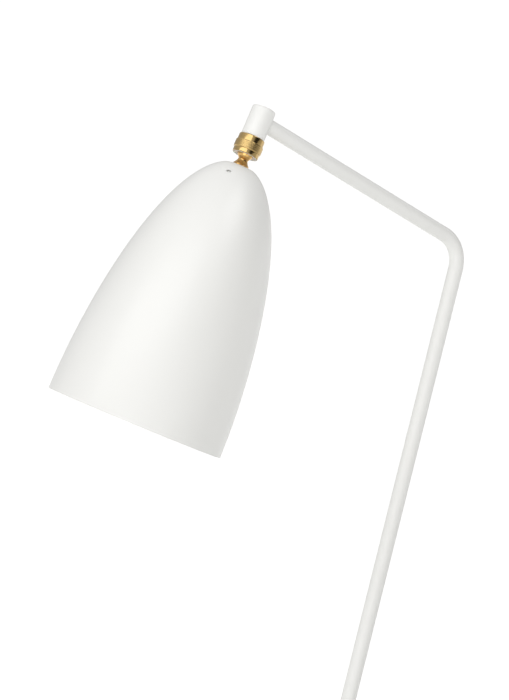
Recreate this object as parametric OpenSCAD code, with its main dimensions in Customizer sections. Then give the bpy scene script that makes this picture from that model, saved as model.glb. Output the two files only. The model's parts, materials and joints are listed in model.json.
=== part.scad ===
// Floor lamp: a bent tube on three legs, with a spun shade on a clamped brass ball.
// The origin is on the floor at the middle of the front foot. +Z is up, and the rear legs point to +X.

/* [Stand] */
// Outer diameter of the post, the arm and the legs
tube_d = 15; // [14:0.5:17]
// Wall of the tubes
tube_wall = 1.5; // [1:0.1:2]
// Length of the post's centre line, from the floor to where it would meet the arm's
post_len = 1150; // [900:10:1300]
// Angle of the post from upright
post_lean = 17.5; // [10:0.5:22]
// Length of the arm's centre line, from the post's to the fitting's axis
arm_len = 280; // [200:5:360]
// Angle of the arm above level
arm_rise = 28; // [20:1:35]
// Radius of the bend's centre line
bend_r = 30; // [25:1:45]

/* [Legs] */
// Distance along the post from the floor to the middle of the yoke
yoke_at = 430; // [350:10:520]
// Distance of the rear feet behind the front foot
rear_x = 390; // [340:10:450]
// Distance of each rear foot from the lamp's middle plane
rear_y = 190; // [150:10:230]
// Outer diameter of the yoke's collar
collar_d = 22; // [20:0.5:24]
// Length of the yoke's collar
collar_len = 46; // [40:1:60]
// Diameter of the feet at the floor
foot_d = 25; // [22:0.5:30]

/* [Fitting and nut] */
// Outer diameter of the fitting at the arm's end
head_d = 23.4; // [22:0.2:25]
// Height of the fitting's top above the arm's centre line
head_top = 12.8; // [11:0.2:16]
// Depth of the fitting's shoulder below the arm's centre line
head_low = 17.1; // [15:0.1:20]
// Diameter of the fitting's threaded spigot
thread_d = 20; // [19.6:0.2:20.4]
// Diameter of the nut's plain bands
nut_d = 25.6; // [25:0.2:27]
// Diameter of the nut's knurled band
knurl_d = 27.3; // [26.5:0.1:29]
// Heights of the nut's upper, knurled and lower bands
nut_bands = [6.2, 7.5, 4.5];

/* [Ball] */
// Diameter of the ball
ball_d = 16; // [15.6:0.2:16.4]
// Depth of the ball's centre below the arm's centre line
ball_drop = 33.1; // [32.8:0.1:33.6]
// Diameter of the neck under the ball
neck_d = 9.6; // [9.2:0.2:10]
// Diameter of the stem's foot on the shade
stem_d = 15.6; // [14:0.2:18]
// Angle of the shade from the fitting's axis
swing = 7.8; // [0:0.1:20]
// Direction of that swing about the fitting's axis, from the arm towards +Y
swing_dir = 52.7; // [0:0.1:360]

/* [Shade] */
// Diameter of the shade's mouth
mouth_d = 174; // [160:1:190]
// Length of the shade
shade_len = 261; // [240:1:280]
// Distance from the ball's centre to the shade's top
shade_gap = 13.2; // [12.6:0.1:15]
// Thickness of the shade
shade_wall = 1.2; // [1:0.1:1.6]
// Diameter of the vent holes
vent_d = 4.8; // [3:0.2:6]
// Distance of the vent holes below the shade's top
vent_at = 10.5; // [9:0.5:20]
// Direction of the first vent hole about the shade's axis
vent_dir = 74; // [0:1:120]

/* [Lampholder and bulb] */
// Outer diameter of the lampholder
holder_d = 38; // [36:0.5:42]
// Diameter of the bulb
bulb_d = 60; // [55:1:65]

/* [Hidden] */
$fn = 96;

paint = "#f1f1ec";
brass = "#c9a24f";
nylon = "#e2ded4";
rubber = "#2b2b2b";
steel = "#9a9da0";

// Running clearance on the radius, the gap between loose faces, and an overlap for clean cuts
run = 0.05;
gap = 0.1;
cut = 1;
// A bend is a hair thicker than the straight runs, which reach a little way into it
swell = 0.04;
lap = 0.4;

// Stand
bore_d = tube_d - 2 * tube_wall;
turn = 90 + post_lean - arm_rise;
bend_cut = bend_r * tan(turn / 2);
post_end = post_len - bend_cut;
elbow = post_len * [sin(post_lean), 0, cos(post_lean)];
head = elbow + arm_len * [-cos(arm_rise), 0, sin(arm_rise)];
post_start = 6;
tube_end = 7.6;

// Legs
yoke = yoke_at * [sin(post_lean), 0, cos(post_lean)];
socket_d = 20;
socket_at = [7, 11, 2];
socket_depth = 46;
socket_taper = 6;
leg_start = 17;
leg_gap = 10;
foot_h = 6;
foot_sleeve = 26;
foot_wall = 2.4;
screw_d = 5;
screw_len = 3;
screw_key = 2.5;
gland_at = 95;
gland_bore = 6.4;
gland_neck = 8.4;
gland_flange = 13;
gland_reach = 13;

// Fitting, nut and seat
chamber_d = 14.4;
cup_bore = 17.2;
spigot_low = 30;
spring_room = 4;
cup_top = -ball_drop + 9.5;
spring_top = cup_top + spring_room;
nut_top = -head_low - 0.3;
nut_low = nut_top - nut_bands[0] - nut_bands[1] - nut_bands[2];
groove_at = -ball_drop - 1.4;
groove_h = 1;
groove_d = 21;
flange_d = 24.4;
flange_h = 1;
seat_top = -ball_drop + 1;
cup_low = 2;
spring_count = 4;
spring_wall = 0.6;
edge = 0.4;
cable_hole = 8;
lead_d = 5;
lead_bend = 8;
lead_start = gland_at + gland_neck / 2 + 1;

// Ball stud
socket_r = ball_d / 2 + run;
neck_at = sqrt(pow(ball_d / 2, 2) - pow(neck_d / 2, 2));
stem_foot = 1.2;
nipple_d = 9.9;
nipple_end = 34;
sleeve_d = 7;
sleeve_top = -6.5;
stud_top = -6.9;

// Shade: the outline is a superellipse that starts a little below its own top
shade_start = 2.3;
bow_long = 1.83;
bow_wide = 0.466;
shade_steps = 56;
function shade_r(s) =
    mouth_d / 2 * pow(1 - pow(1 - (s + shade_start) / (shade_len + shade_start), bow_long), bow_wide);
function shade_s(i) = shade_len * pow(i / shade_steps, 1.7);

// Lampholder and bulb, measured down from the ball's centre
washer_at = shade_gap + shade_wall;
washer_h = 1.6;
lock_at = washer_at + washer_h;
lock_h = 4;
lock_flats = 14;
cap_at = lock_at + lock_h + 0.5;
cap_h = 23;
skirt_at = cap_at + cap_h;
skirt_len = 40;
holder_wall = 2.2;
core_at = skirt_at + 0.5;
core_h = 6;
shell_at = core_at + core_h;
shell_len = 25;
shell_d = 28;
contact_h = 1;
tip_at = shell_at + contact_h;
tip_h = 1.2;
insulator_h = 2;
base_at = tip_at + tip_h + insulator_h;
base_len = 25;
base_d = 26.4;
glass_at = base_at + base_len - 2;
glass_end = glass_at + 80;
glass_wall = 1;

// A point on the post's centre line, with +X of the children to the rear
module on_post(s) {
    rotate([0, post_lean, 0]) translate([0, 0, s]) children();
}

// The fitting's axis, with +X of the children towards the elbow
module on_head(z = 0) {
    translate(head) rotate([0, arm_rise, 0]) translate([0, 0, z]) children();
}

// The shade's axis at t below the ball's centre, with +Z of the children towards the mouth
module on_shade(t = 0) {
    on_head(-ball_drop) rotate([0, 0, swing_dir]) rotate([0, -swing, 0])
        rotate([180, 0, 0]) translate([0, 0, t]) children();
}

// A leg's centre line: +Z of the children points from the yoke to the floor
module on_leg(side, s = 0) {
    start = yoke + [socket_at.x, side * socket_at.y, socket_at.z];
    way = [rear_x, side * rear_y, 0] - start;
    translate(start) rotate([0, acos(way.z / norm(way)), atan2(way.y, way.x)])
        translate([0, 0, s]) children();
}
leg_len = norm([rear_x, rear_y, 0] - yoke - socket_at);

module pipe(outer, inner, h) {
    difference() {
        cylinder(d = outer, h = h);
        translate([0, 0, -cut]) cylinder(d = inner, h = h + 2 * cut);
    }
}

// A bend in the X-Z plane that starts along +Z and leans to -X
module bend(r, angle) {
    translate([-r, 0, 0]) rotate([90, 0, 0]) rotate_extrude(angle = angle)
        translate([r, 0]) children();
}

module main_tube() {
    color(paint) {
        difference() {
            on_post(post_start) pipe(tube_d, bore_d, post_end - post_start + lap);
            on_post(gland_at) rotate([0, 90, 0]) cylinder(d = gland_neck, h = tube_d);
        }
        on_post(post_end) bend(bend_r, turn) difference() {
            circle(d = tube_d + swell);
            circle(d = bore_d - swell);
        }
        on_head() translate([tube_end, 0, 0]) rotate([0, 90, 0])
            pipe(tube_d, bore_d, arm_len - bend_cut - tube_end + lap);
    }
}

// The set screws' axes: one through the collar, and one through the underside of each socket
module yoke_screw_places() {
    on_post(yoke_at - collar_len / 4) rotate([0, -90, 0]) children();
    for (side = [-1, 1]) on_leg(side, socket_depth - 12) rotate([0, 90, 0]) children();
}

module leg_yoke() {
    color(paint) difference() {
        union() {
            on_post(yoke_at - collar_len / 2) cylinder(d = collar_d, h = collar_len);
            for (side = [-1, 1]) on_leg(side) {
                translate([0, 0, -socket_taper]) cylinder(d1 = tube_d, d2 = socket_d, h = socket_taper);
                cylinder(d = socket_d, h = socket_depth);
            }
        }
        on_post(yoke_at - collar_len) cylinder(d = tube_d, h = 2 * collar_len);
        for (side = [-1, 1]) on_leg(side, leg_start) cylinder(d = tube_d, h = socket_depth);
        yoke_screw_places() cylinder(d = screw_d, h = collar_d);
    }
}

module set_screw() {
    difference() {
        cylinder(d = screw_d, h = screw_len);
        translate([0, 0, screw_len / 2]) cylinder(d = screw_key * 2 / sqrt(3), h = screw_len, $fn = 6);
    }
}

module yoke_screws() {
    color(steel) yoke_screw_places() translate([0, 0, tube_d / 2 + gap]) set_screw();
}

module rear_leg(side) {
    color(paint) on_leg(side, leg_start) pipe(tube_d, bore_d, leg_len - leg_start - leg_gap);
}

// The foot under a tube whose end comes down the children's +Z; the floor cuts it flat
module foot_shape(lean, end_gap) {
    difference() {
        union() {
            cylinder(d = foot_d, h = foot_h);
            rotate([0, lean, 0]) cylinder(d = tube_d + 2 * foot_wall, h = foot_sleeve);
        }
        rotate([0, lean, 0]) translate([0, 0, end_gap]) cylinder(d = tube_d, h = foot_sleeve);
        translate([0, 0, -foot_d]) cube(2 * foot_d, center = true);
    }
}

module front_foot() {
    color(rubber) foot_shape(post_lean, post_start);
}

module rear_foot(side) {
    way = yoke + [socket_at.x, side * socket_at.y, socket_at.z] - [rear_x, side * rear_y, 0];
    color(rubber) translate([rear_x, side * rear_y, 0]) rotate([0, 0, atan2(way.y, way.x)])
        foot_shape(acos(way.z / norm(way)), leg_gap);
}

module cable_gland() {
    color(rubber) on_post(gland_at) difference() {
        rotate([0, 90, 0]) {
            cylinder(d = gland_neck, h = tube_d / 2 + 1);
            cylinder(d = gland_flange, h = tube_d / 2 + 1.6);
            cylinder(d1 = gland_flange - 2, d2 = gland_flange - 4, h = gland_reach);
        }
        difference() {
            translate([0, 0, -tube_d]) cylinder(d = tube_d, h = 2 * tube_d);
            rotate([0, 90, 0]) cylinder(d = gland_neck, h = tube_d);
        }
        translate([0, 0, -tube_d]) cylinder(d = bore_d, h = 2 * tube_d);
        rotate([0, 90, 0]) cylinder(d = gland_bore, h = tube_d + cut);
    }
}

module stand_lead() {
    color("white") {
        on_post(lead_start) cylinder(d = lead_d, h = post_end - lead_start + lap);
        on_post(post_end) bend(bend_r, turn) circle(d = lead_d + swell);
        on_head() translate([lead_bend - lap, 0, 0]) rotate([0, 90, 0])
            cylinder(d = lead_d, h = arm_len - bend_cut - lead_bend + 2 * lap);
        on_head(-lead_bend) rotate([0, 0, 180]) bend(lead_bend, 90) circle(d = lead_d + swell);
        on_head(cup_top - 1) cylinder(d = lead_d, h = lap - lead_bend - cup_top + 1);
    }
}

module head_fitting() {
    corner = 1.6;
    color(paint) on_head() difference() {
        union() {
            translate([0, 0, -head_low]) cylinder(d = head_d, h = head_low + head_top - corner);
            translate([0, 0, head_top - corner]) rotate_extrude() {
                square([head_d / 2 - corner, corner]);
                intersection() {
                    translate([head_d / 2 - corner, 0]) circle(r = corner);
                    square([head_d / 2, corner]);
                }
            }
            translate([0, 0, -spigot_low]) cylinder(d = thread_d - 2 * run, h = spigot_low);
        }
        translate([0, 0, spring_top]) cylinder(d = chamber_d, h = head_top - 3.5 - spring_top);
        translate([0, 0, -spigot_low - cut]) cylinder(d = cup_bore, h = spigot_low + cut + spring_top);
        rotate([0, 90, 0]) cylinder(d = tube_d, h = head_d);
    }
}

module disc_springs() {
    pitch = spring_room / spring_count;
    color(steel) on_head(cup_top) for (i = [0 : spring_count - 1]) translate([0, 0, pitch * i]) {
        low = i % 2 == 0 ? 0 : pitch - spring_wall;
        rotate_extrude() polygon([
            [cable_hole / 2 + edge, low], [cup_bore / 2 - edge, pitch - spring_wall - low],
            [cup_bore / 2 - edge, pitch - low], [cable_hole / 2 + edge, low + spring_wall],
        ]);
    }
}

module friction_cup() {
    color(nylon) on_head() difference() {
        translate([0, 0, cup_low - ball_drop])
            cylinder(d = cup_bore - 2 * run, h = cup_top - cup_low + ball_drop);
        translate([0, 0, -ball_drop]) sphere(r = socket_r);
        translate([0, 0, -ball_drop]) cylinder(d = cable_hole, h = ball_drop);
    }
}

module seat_ring() {
    flange_top = nut_low - gap;
    color(nylon) on_head() difference() {
        union() {
            translate([0, 0, flange_top - flange_h]) cylinder(d = flange_d, h = flange_h);
            translate([0, 0, flange_top]) cylinder(d = thread_d - 2 * run, h = seat_top - flange_top);
            translate([0, 0, groove_at + gap]) cylinder(d = groove_d - 2 * run, h = groove_h - 2 * gap);
        }
        translate([0, 0, -ball_drop]) sphere(r = socket_r);
        translate([0, 0, -ball_drop]) cylinder(r = socket_r, h = ball_drop);
    }
}

// A band of the nut from z up, with its corners taken off
module nut_band(d, z, h) {
    translate([0, 0, z]) {
        cylinder(d1 = d - 2 * edge, d2 = d, h = edge);
        translate([0, 0, edge]) cylinder(d = d, h = h - 2 * edge);
        translate([0, 0, h - edge]) cylinder(d1 = d, d2 = d - 2 * edge, h = edge);
    }
}

module clamp_nut() {
    color(brass) on_head() difference() {
        union() {
            nut_band(nut_d, nut_low, nut_bands[2] + edge);
            nut_band(knurl_d, nut_low + nut_bands[2], nut_bands[1]);
            nut_band(nut_d, nut_top - nut_bands[0] - edge, nut_bands[0] + edge);
        }
        translate([0, 0, nut_low - cut]) cylinder(d = thread_d, h = nut_top - nut_low + 2 * cut);
        translate([0, 0, groove_at]) cylinder(d = groove_d, h = groove_h);
    }
}

// The stem swells from the neck to its foot on the shade
module stem_outline() {
    steps = 10;
    stem_at = shade_gap - stem_foot;
    polygon([
        [0, 0], [neck_d / 2, neck_at],
        for (i = [1 : steps]) let (u = i / steps)
            [neck_d / 2 + (stem_d - neck_d) / 2 * pow(u, 1.2), neck_at + (stem_at - neck_at) * u],
        [stem_d / 2, shade_gap], [nipple_d / 2, shade_gap], [nipple_d / 2, nipple_end], [0, nipple_end],
    ]);
}

module ball_stud() {
    color(brass) on_shade() difference() {
        union() {
            sphere(d = ball_d);
            rotate_extrude() stem_outline();
        }
        translate([0, 0, -ball_d]) cylinder(d = sleeve_d + 2 * run, h = ball_d + nipple_end + cut);
        translate([0, 0, stud_top - ball_d]) cylinder(d = ball_d, h = ball_d);
    }
}

module cable_sleeve() {
    color("white") on_shade(sleeve_top) pipe(sleeve_d, lead_d + 6 * gap, nipple_end - sleeve_top);
}

module shade_lead() {
    start = sleeve_top + gap;
    color("white") on_shade(start) cylinder(d = lead_d, h = core_at - start);
}

function shade_point(i) = [shade_r(shade_s(i)), shade_s(i)];
// Inward normal of the outline, from a short step along it
function shade_way(s) = [shade_r(s + 0.05) - shade_r(s), 0.05];
function shade_normal(s) = [-shade_way(s).y, shade_way(s).x] / norm(shade_way(s));

module shade() {
    outside = [for (i = [0 : shade_steps]) shade_point(i)];
    inside = [for (i = [shade_steps : -1 : 0])
        let (p = shade_point(i) + shade_wall * shade_normal(min(shade_s(i), shade_len - 1)))
        [p.x, min(p.y, shade_len)]];
    vent = shade_normal(vent_at);
    color(paint) on_shade(shade_gap) difference() {
        rotate_extrude() polygon(concat([[nipple_d / 2 + gap, 0]], outside, inside,
            [[nipple_d / 2 + gap, shade_wall]]));
        for (i = [0 : 2]) rotate([0, 0, vent_dir + 120 * i]) translate([shade_r(vent_at), 0, vent_at])
            rotate([0, atan2(vent.x, vent.y), 0]) cylinder(d = vent_d, h = 8 * shade_wall, center = true);
    }
}

module shade_washer() {
    color(steel) on_shade(washer_at) pipe(2 * nipple_d, nipple_d + 2 * run, washer_h);
}

module lock_nut() {
    color(brass) on_shade(lock_at) difference() {
        cylinder(d = lock_flats * 2 / sqrt(3), h = lock_h, $fn = 6);
        translate([0, 0, -cut]) cylinder(d = nipple_d, h = lock_h + 2 * cut);
    }
}

module holder_cap() {
    r = holder_d / 2;
    boss = 8;
    wall = holder_wall;
    color("white") on_shade(cap_at) rotate_extrude() polygon([
        [nipple_d / 2, 0], [boss, 0], [boss + 1, 4], [r - 5, 8], [r - 1, 14], [r, 20], [r, cap_h],
        [r - wall, cap_h], [r - wall, 20], [r - wall - 1, 15], [r - wall - 4, 10],
        [boss, 7], [nipple_d / 2, 7],
    ]);
}

module holder_skirt() {
    rim = 2;
    color("white") on_shade(skirt_at) {
        pipe(holder_d, holder_d - 2 * holder_wall, skirt_len);
        translate([0, 0, skirt_len - rim]) pipe(holder_d + 1.6, holder_d - 2 * holder_wall, rim);
    }
}

module terminal_places() {
    for (side = [-1, 1]) translate([side * 9.5, 0, 0]) children();
}

module holder_core() {
    color("ivory") on_shade(core_at) difference() {
        cylinder(d = holder_d - 2 * holder_wall - 2 * gap, h = core_h);
        terminal_places() translate([0, 0, -cut]) cylinder(d = 3, h = core_h);
    }
}

module terminal_screws() {
    color(brass) on_shade(core_at) terminal_places() {
        cylinder(d = 3, h = core_h - cut);
        translate([0, 0, -2]) cylinder(d = 5, h = 2);
    }
}

module thread_shell() {
    color(brass) on_shade(shell_at) pipe(shell_d, shell_d - 1, shell_len);
}

module centre_contact() {
    color(brass) on_shade(shell_at) cylinder(d = 12, h = contact_h);
}

module bulb_contact() {
    color(steel) on_shade(tip_at) cylinder(d = 9, h = tip_h);
}

module bulb_insulator() {
    color(rubber) on_shade(tip_at + tip_h) cylinder(d1 = 11, d2 = base_d - 2, h = insulator_h);
}

module bulb_cap() {
    color(steel) on_shade(base_at) difference() {
        cylinder(d = base_d, h = base_len);
        translate([0, 0, cut]) cylinder(d = base_d - 1, h = base_len);
    }
}

// Outline of the bulb, w inside its outer face
module bulb_outline(w) {
    r = bulb_d / 2;
    centre = glass_end - r;
    neck = base_d / 2 - 0.7;
    translate([0, centre]) circle(r = r - w);
    polygon([
        [0, glass_at], [neck - w, glass_at], [neck - w, base_at + base_len],
        [neck + 2 - w, base_at + base_len + 8],
        [r * sin(60) - w, centre - r * cos(60)], [0, centre],
    ]);
}

module bulb_glass() {
    color("white") on_shade() rotate_extrude() intersection() {
        difference() {
            bulb_outline(0);
            bulb_outline(glass_wall);
        }
        square([bulb_d, glass_end]);
    }
}

main_tube();
leg_yoke();
rear_leg(-1);  // rear_leg_left
rear_leg(1);  // rear_leg_right
yoke_screws();
front_foot();
rear_foot(-1);  // rear_foot_left
rear_foot(1);  // rear_foot_right
cable_gland();
stand_lead();
head_fitting();
disc_springs();
friction_cup();
seat_ring();
clamp_nut();
ball_stud();
cable_sleeve();
shade_lead();
shade();
shade_washer();
lock_nut();
holder_cap();
holder_skirt();
holder_core();
terminal_screws();
thread_shell();
centre_contact();
bulb_contact();
bulb_insulator();
bulb_cap();
bulb_glass();
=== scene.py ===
"""The finished look of a floor lamp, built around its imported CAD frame.

Turned, drawn and cast pieces stand in for the plain CAD ones, and every other CAD node takes a
procedural finish. Each piece is made in its own frame, with +Z along its axis, and then put in place.
"""

import json
from math import acos, asin, cos, pi, radians, sin, sqrt, tan

import bmesh
import bpy
from bpy.props import FloatProperty, FloatVectorProperty, IntProperty, PointerProperty
from bpy.types import Operator, Panel, PropertyGroup
from mathutils import Matrix, Vector


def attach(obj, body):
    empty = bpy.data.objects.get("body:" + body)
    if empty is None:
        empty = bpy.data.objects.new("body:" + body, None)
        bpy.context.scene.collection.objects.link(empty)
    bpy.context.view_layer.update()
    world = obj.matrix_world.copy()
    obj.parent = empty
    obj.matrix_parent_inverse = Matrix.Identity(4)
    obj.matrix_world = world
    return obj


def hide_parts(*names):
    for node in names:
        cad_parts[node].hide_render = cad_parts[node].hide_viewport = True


bl_info = {
    "name": "Floor lamp",
    "version": (1, 0, 0),
    "blender": (4, 5, 0),
    "location": "View3D > Sidebar > Lamp",
    "description": "Builds the finished look of a floor lamp around its CAD frame",
    "category": "Object",
}

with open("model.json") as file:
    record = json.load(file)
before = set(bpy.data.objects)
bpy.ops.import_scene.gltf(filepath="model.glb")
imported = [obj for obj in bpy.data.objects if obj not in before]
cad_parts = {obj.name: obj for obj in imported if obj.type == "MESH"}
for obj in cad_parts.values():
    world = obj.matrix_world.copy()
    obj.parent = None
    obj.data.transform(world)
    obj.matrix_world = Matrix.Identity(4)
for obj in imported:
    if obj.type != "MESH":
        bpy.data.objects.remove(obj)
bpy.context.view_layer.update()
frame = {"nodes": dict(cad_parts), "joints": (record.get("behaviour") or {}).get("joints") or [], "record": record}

MM = 0.001
MICRON = 1e-6
WEDGES = 160  # faces around a turned piece
ROUND = 5  # points along a rounded corner
FEW_WEDGES = 96  # faces around a tube or a moulded piece
BEND_STEPS = 48  # steps along the tube's bend
CUT_PAST = 9 * MM  # how far a cutter runs past what it cuts
LAP = 0.05 * MM  # how far one surface sinks into the next
SLACK = 0.05 * MM  # gap between surfaces that turn or screw together
RIM = 0.6 * MM  # height of the shade's rounded lower edge
GROOVE_DEEP = 0.5 * MM  # depth of the nut's inner groove, and reach of the seat ring's lip
PLAY = 0.1 * MM  # gap above or below a piece that is held loosely
TOOTH_STEPS = 6  # faces across a tooth of the knurl
MELT_CELL = 0.7 * MM  # cell of the grid that a cast piece is melted on
MELT_ROUNDS = 8  # rounds of smoothing of a cast piece
CREASE = radians(38)  # an edge that turns more than this is drawn sharp

joints = {joint["name"]: joint for joint in frame["joints"]}
mounts = {mount["name"]: mount for mount in frame["record"]["mounts"]}
ACROSS = Vector((0, 1, 0))
BALL = Vector(joints["swivel_swing"]["pos_m"])
HEAD_UP = Vector(joints["swivel_turn"]["axis"])
SHADE_DOWN = -Vector(joints["shade_turn"]["axis"])
ARM_DOWN = ACROSS.cross(HEAD_UP)
GLAND_OUT = Vector(mounts["cable_entry"]["axis"])
POST_UP = GLAND_OUT.cross(ACROSS)
REAR_FEET = {name: Vector(mounts[name]["pos_m"]) for name in ("rear_foot_left", "rear_foot_right")}


# Settings


def size_mm(name, description, size):
    """A length, whose default is given in millimetres."""
    return FloatProperty(name=name, description=description, default=size * MM, unit="LENGTH")


def colour(name, description, default):
    return FloatVectorProperty(name=name, description=description, default=default, subtype="COLOR")


class StandSettings(PropertyGroup):
    tube_d: size_mm("Tube diameter", "Outer diameter of the post, the arm and the legs", 15)
    tube_wall: size_mm("Tube wall", "Thickness of the tubes' walls", 1.5)
    bend_r: size_mm("Bend radius", "Radius of the bend's centre line", 30)
    arm_end: size_mm("Arm end", "Distance from the fitting's axis at which the arm's tube ends", 7.6)
    foot_gap: size_mm("Front foot gap", "Rubber between the floor and the post's end", 6)
    yoke_at: size_mm("Yoke height", "Distance along the post to the middle of the yoke", 430)
    collar_d: size_mm("Collar diameter", "Outer diameter of the yoke's collar", 22)
    collar_len: size_mm("Collar length", "Length of the yoke's collar", 46)
    socket_at: FloatVectorProperty(
        name="Socket start", description="Where the left socket starts, from the middle of the collar",
        default=(7 * MM, -11 * MM, 2 * MM), subtype="TRANSLATION")
    socket_d: size_mm("Socket diameter", "Outer diameter of the sockets that hold the rear legs", 20)
    socket_taper: size_mm("Socket taper", "Length over which a socket narrows to the tube's diameter", 6)
    socket_len: size_mm("Socket length", "Length of the yoke's sockets", 46)
    leg_start: size_mm("Leg start", "Depth in its socket at which a rear leg starts", 17)
    leg_gap: size_mm("Rear foot gap", "Rubber between the floor and a rear leg's end", 10)
    foot_d: size_mm("Foot diameter", "Diameter of the feet at the floor", 25)
    foot_wall: size_mm("Foot wall", "Thickness of the rubber around a tube", 2.4)
    foot_pad: size_mm("Foot pad", "Height of the round pad on the floor", 6)
    foot_sleeve: size_mm("Foot sleeve", "Length of the rubber along a tube", 26)
    gland_neck_d: size_mm(
        "Gland neck", "Diameter of the gland where it passes through the tube's wall", 8.4)
    gland_flange_d: size_mm("Gland flange", "Diameter of the gland's flange on the tube", 13)
    gland_end: size_mm("Gland end", "Distance from the post's axis to the gland's outer end", 13)


class FittingSettings(PropertyGroup):
    ball_drop: size_mm("Ball depth", "Depth of the ball's centre below the arm's centre line", 33.1)
    head_d: size_mm("Fitting diameter", "Outer diameter of the fitting at the arm's end", 23.4)
    head_top: size_mm("Fitting top", "Height of the fitting's top above the arm's centre line", 12.8)
    head_low: size_mm(
        "Fitting shoulder", "Depth of the fitting's shoulder below the arm's centre line", 17.1)
    head_end: size_mm("Fitting end", "Depth of the threaded spigot's end below the arm's centre line", 30)
    cup_bore: size_mm("Cup bore", "Diameter of the fitting's bore round the friction cup", 17.2)
    spring_bore: size_mm("Spring bore", "Diameter of the bore above the springs", 14.4)
    spring_top: size_mm("Spring top", "Height of the springs' seat above the ball's centre", 13.5)
    head_wall: size_mm("Fitting wall", "Thickness of the fitting's closed top", 3.5)
    braze_leg: size_mm("Braze", "Reach of the braze along the arm and over the fitting", 0.9)
    thread_d: size_mm("Thread diameter", "Diameter of the fitting's threaded spigot", 20)
    nut_d: size_mm("Nut diameter", "Diameter of the nut's plain bands", 25.6)
    knurl_d: size_mm("Knurl diameter", "Diameter of the nut's knurled band", 27.3)
    nut_gap: size_mm("Nut gap", "Gap between the fitting's shoulder and the nut", 0.3)
    nut_bands: FloatVectorProperty(
        name="Nut bands", description="Heights of the nut's upper, knurled and lower bands",
        default=(6.2 * MM, 7.5 * MM, 4.5 * MM), subtype="NONE")
    knurl_teeth: IntProperty(
        name="Knurl teeth", description="Teeth around the knurled band", default=120)
    knurl_depth: size_mm("Knurl depth", "Depth of the knurl's grooves", 0.11)
    groove_at: size_mm("Groove depth", "Depth of the nut's inner groove below the ball's centre", 1.4)
    groove_h: size_mm("Groove width", "Width of the nut's inner groove, which holds the seat ring", 1)
    ring_h: size_mm("Seat ring flange", "Thickness of the seat ring's flange", 0.45)
    ring_dish: size_mm("Seat ring dish", "Rise of the seat ring's underside towards the ball", 1.1)
    ring_d: size_mm("Seat ring diameter", "Diameter of the seat ring under the nut", 24.4)
    ball_d: size_mm("Ball diameter", "Diameter of the ball", 16)
    neck_d: size_mm("Neck diameter", "Diameter of the neck under the ball", 9.6)
    stem_d: size_mm("Stem foot diameter", "Diameter of the stem's foot on the shade", 15.6)
    ball_flat: size_mm("Ball flat", "Height of the ball's flat top above its centre", 6.9)
    stud_bore: size_mm("Stud bore", "Diameter of the bore through the ball and its stem", 7.1)
    nipple_d: size_mm("Nipple diameter", "Diameter of the threaded nipple under the stem", 9.9)
    nipple_end: size_mm("Nipple end", "Distance from the ball's centre to the nipple's end", 34)


class ShadeSettings(PropertyGroup):
    mouth_d: size_mm("Mouth diameter", "Diameter of the shade's mouth", 174)
    length: size_mm("Length", "Length of the shade along its axis", 261)
    hole_d: size_mm("Hole diameter", "Diameter of the hole for the nipple", 10.1)
    gap: size_mm("Ball to shade", "Distance from the ball's centre to the shade's top", 13.2)
    wall: size_mm("Thickness", "Thickness of the spun metal", 1.2)
    vent_d: size_mm("Vent diameter", "Diameter of the vent holes", 4.8)
    vent_at: size_mm("Vent depth", "Distance of the vent holes below the shade's top", 10.5)
    vent_dir: FloatProperty(
        name="Vent direction", description="Direction of the first vent hole about the shade's axis",
        default=radians(74), subtype="ANGLE")
    vents: IntProperty(name="Vents", description="Number of vent holes", default=3)


class BulbSettings(PropertyGroup):
    holder_d: size_mm("Holder diameter", "Outer diameter of the lampholder", 38)
    holder_wall: size_mm("Holder wall", "Thickness of the lampholder's shells", 2.2)
    washer_d: size_mm("Washer diameter", "Outer diameter of the shade's washer", 19.8)
    washer_h: size_mm("Washer thickness", "Thickness of the shade's washer", 1.6)
    cap_at: size_mm("Cap distance", "Distance from the washer's seat to the lampholder's cap", 6.1)
    cap_len: size_mm("Cap length", "Length of the lampholder's cap", 23)
    skirt_len: size_mm("Skirt length", "Length of the lampholder's skirt", 40)
    skirt_ribs: IntProperty(
        name="Skirt ribs", description="Grip ribs around the lampholder's skirt", default=40)
    base_at: size_mm("Bulb distance", "Distance from the washer's seat to the bulb's threaded cap", 39.8)
    base_d: size_mm("Bulb cap diameter", "Diameter of the bulb's threaded cap", 26.4)
    base_len: size_mm("Bulb cap length", "Length of the bulb's threaded cap", 25)
    thread_pitch: size_mm("Thread pitch", "Climb of the bulb's thread in one turn", 3.6)
    bulb_d: size_mm("Bulb diameter", "Diameter of the bulb", 60)
    glass_len: size_mm("Glass length", "Length of the bulb's glass", 80)
    glass_wall: size_mm("Glass thickness", "Thickness of the bulb's glass", 1)


class ColourSettings(PropertyGroup):
    paint: colour("Paint", "Warm white of the painted steel", (0.835, 0.833, 0.81))
    brass: colour("Brass", "Polished brass", (0.58, 0.40, 0.15))
    brass_aged: colour("Aged brass", "Brass where it has darkened", (0.40, 0.25, 0.08))
    brass_warm: colour("Warm brass", "Redder brass of the ball and its stem", (0.66, 0.39, 0.12))
    nylon: colour("Nylon", "Natural nylon", (0.74, 0.70, 0.63))
    rubber: colour("Rubber", "Black rubber", (0.022, 0.022, 0.023))
    zinc: colour("Zinc", "Zinc-plated steel", (0.60, 0.61, 0.62))
    plastic: colour("White plastic", "Moulded white plastic", (0.80, 0.79, 0.76))
    glass: colour("Opal glass", "White glass of the bulb", (0.88, 0.87, 0.84))


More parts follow.
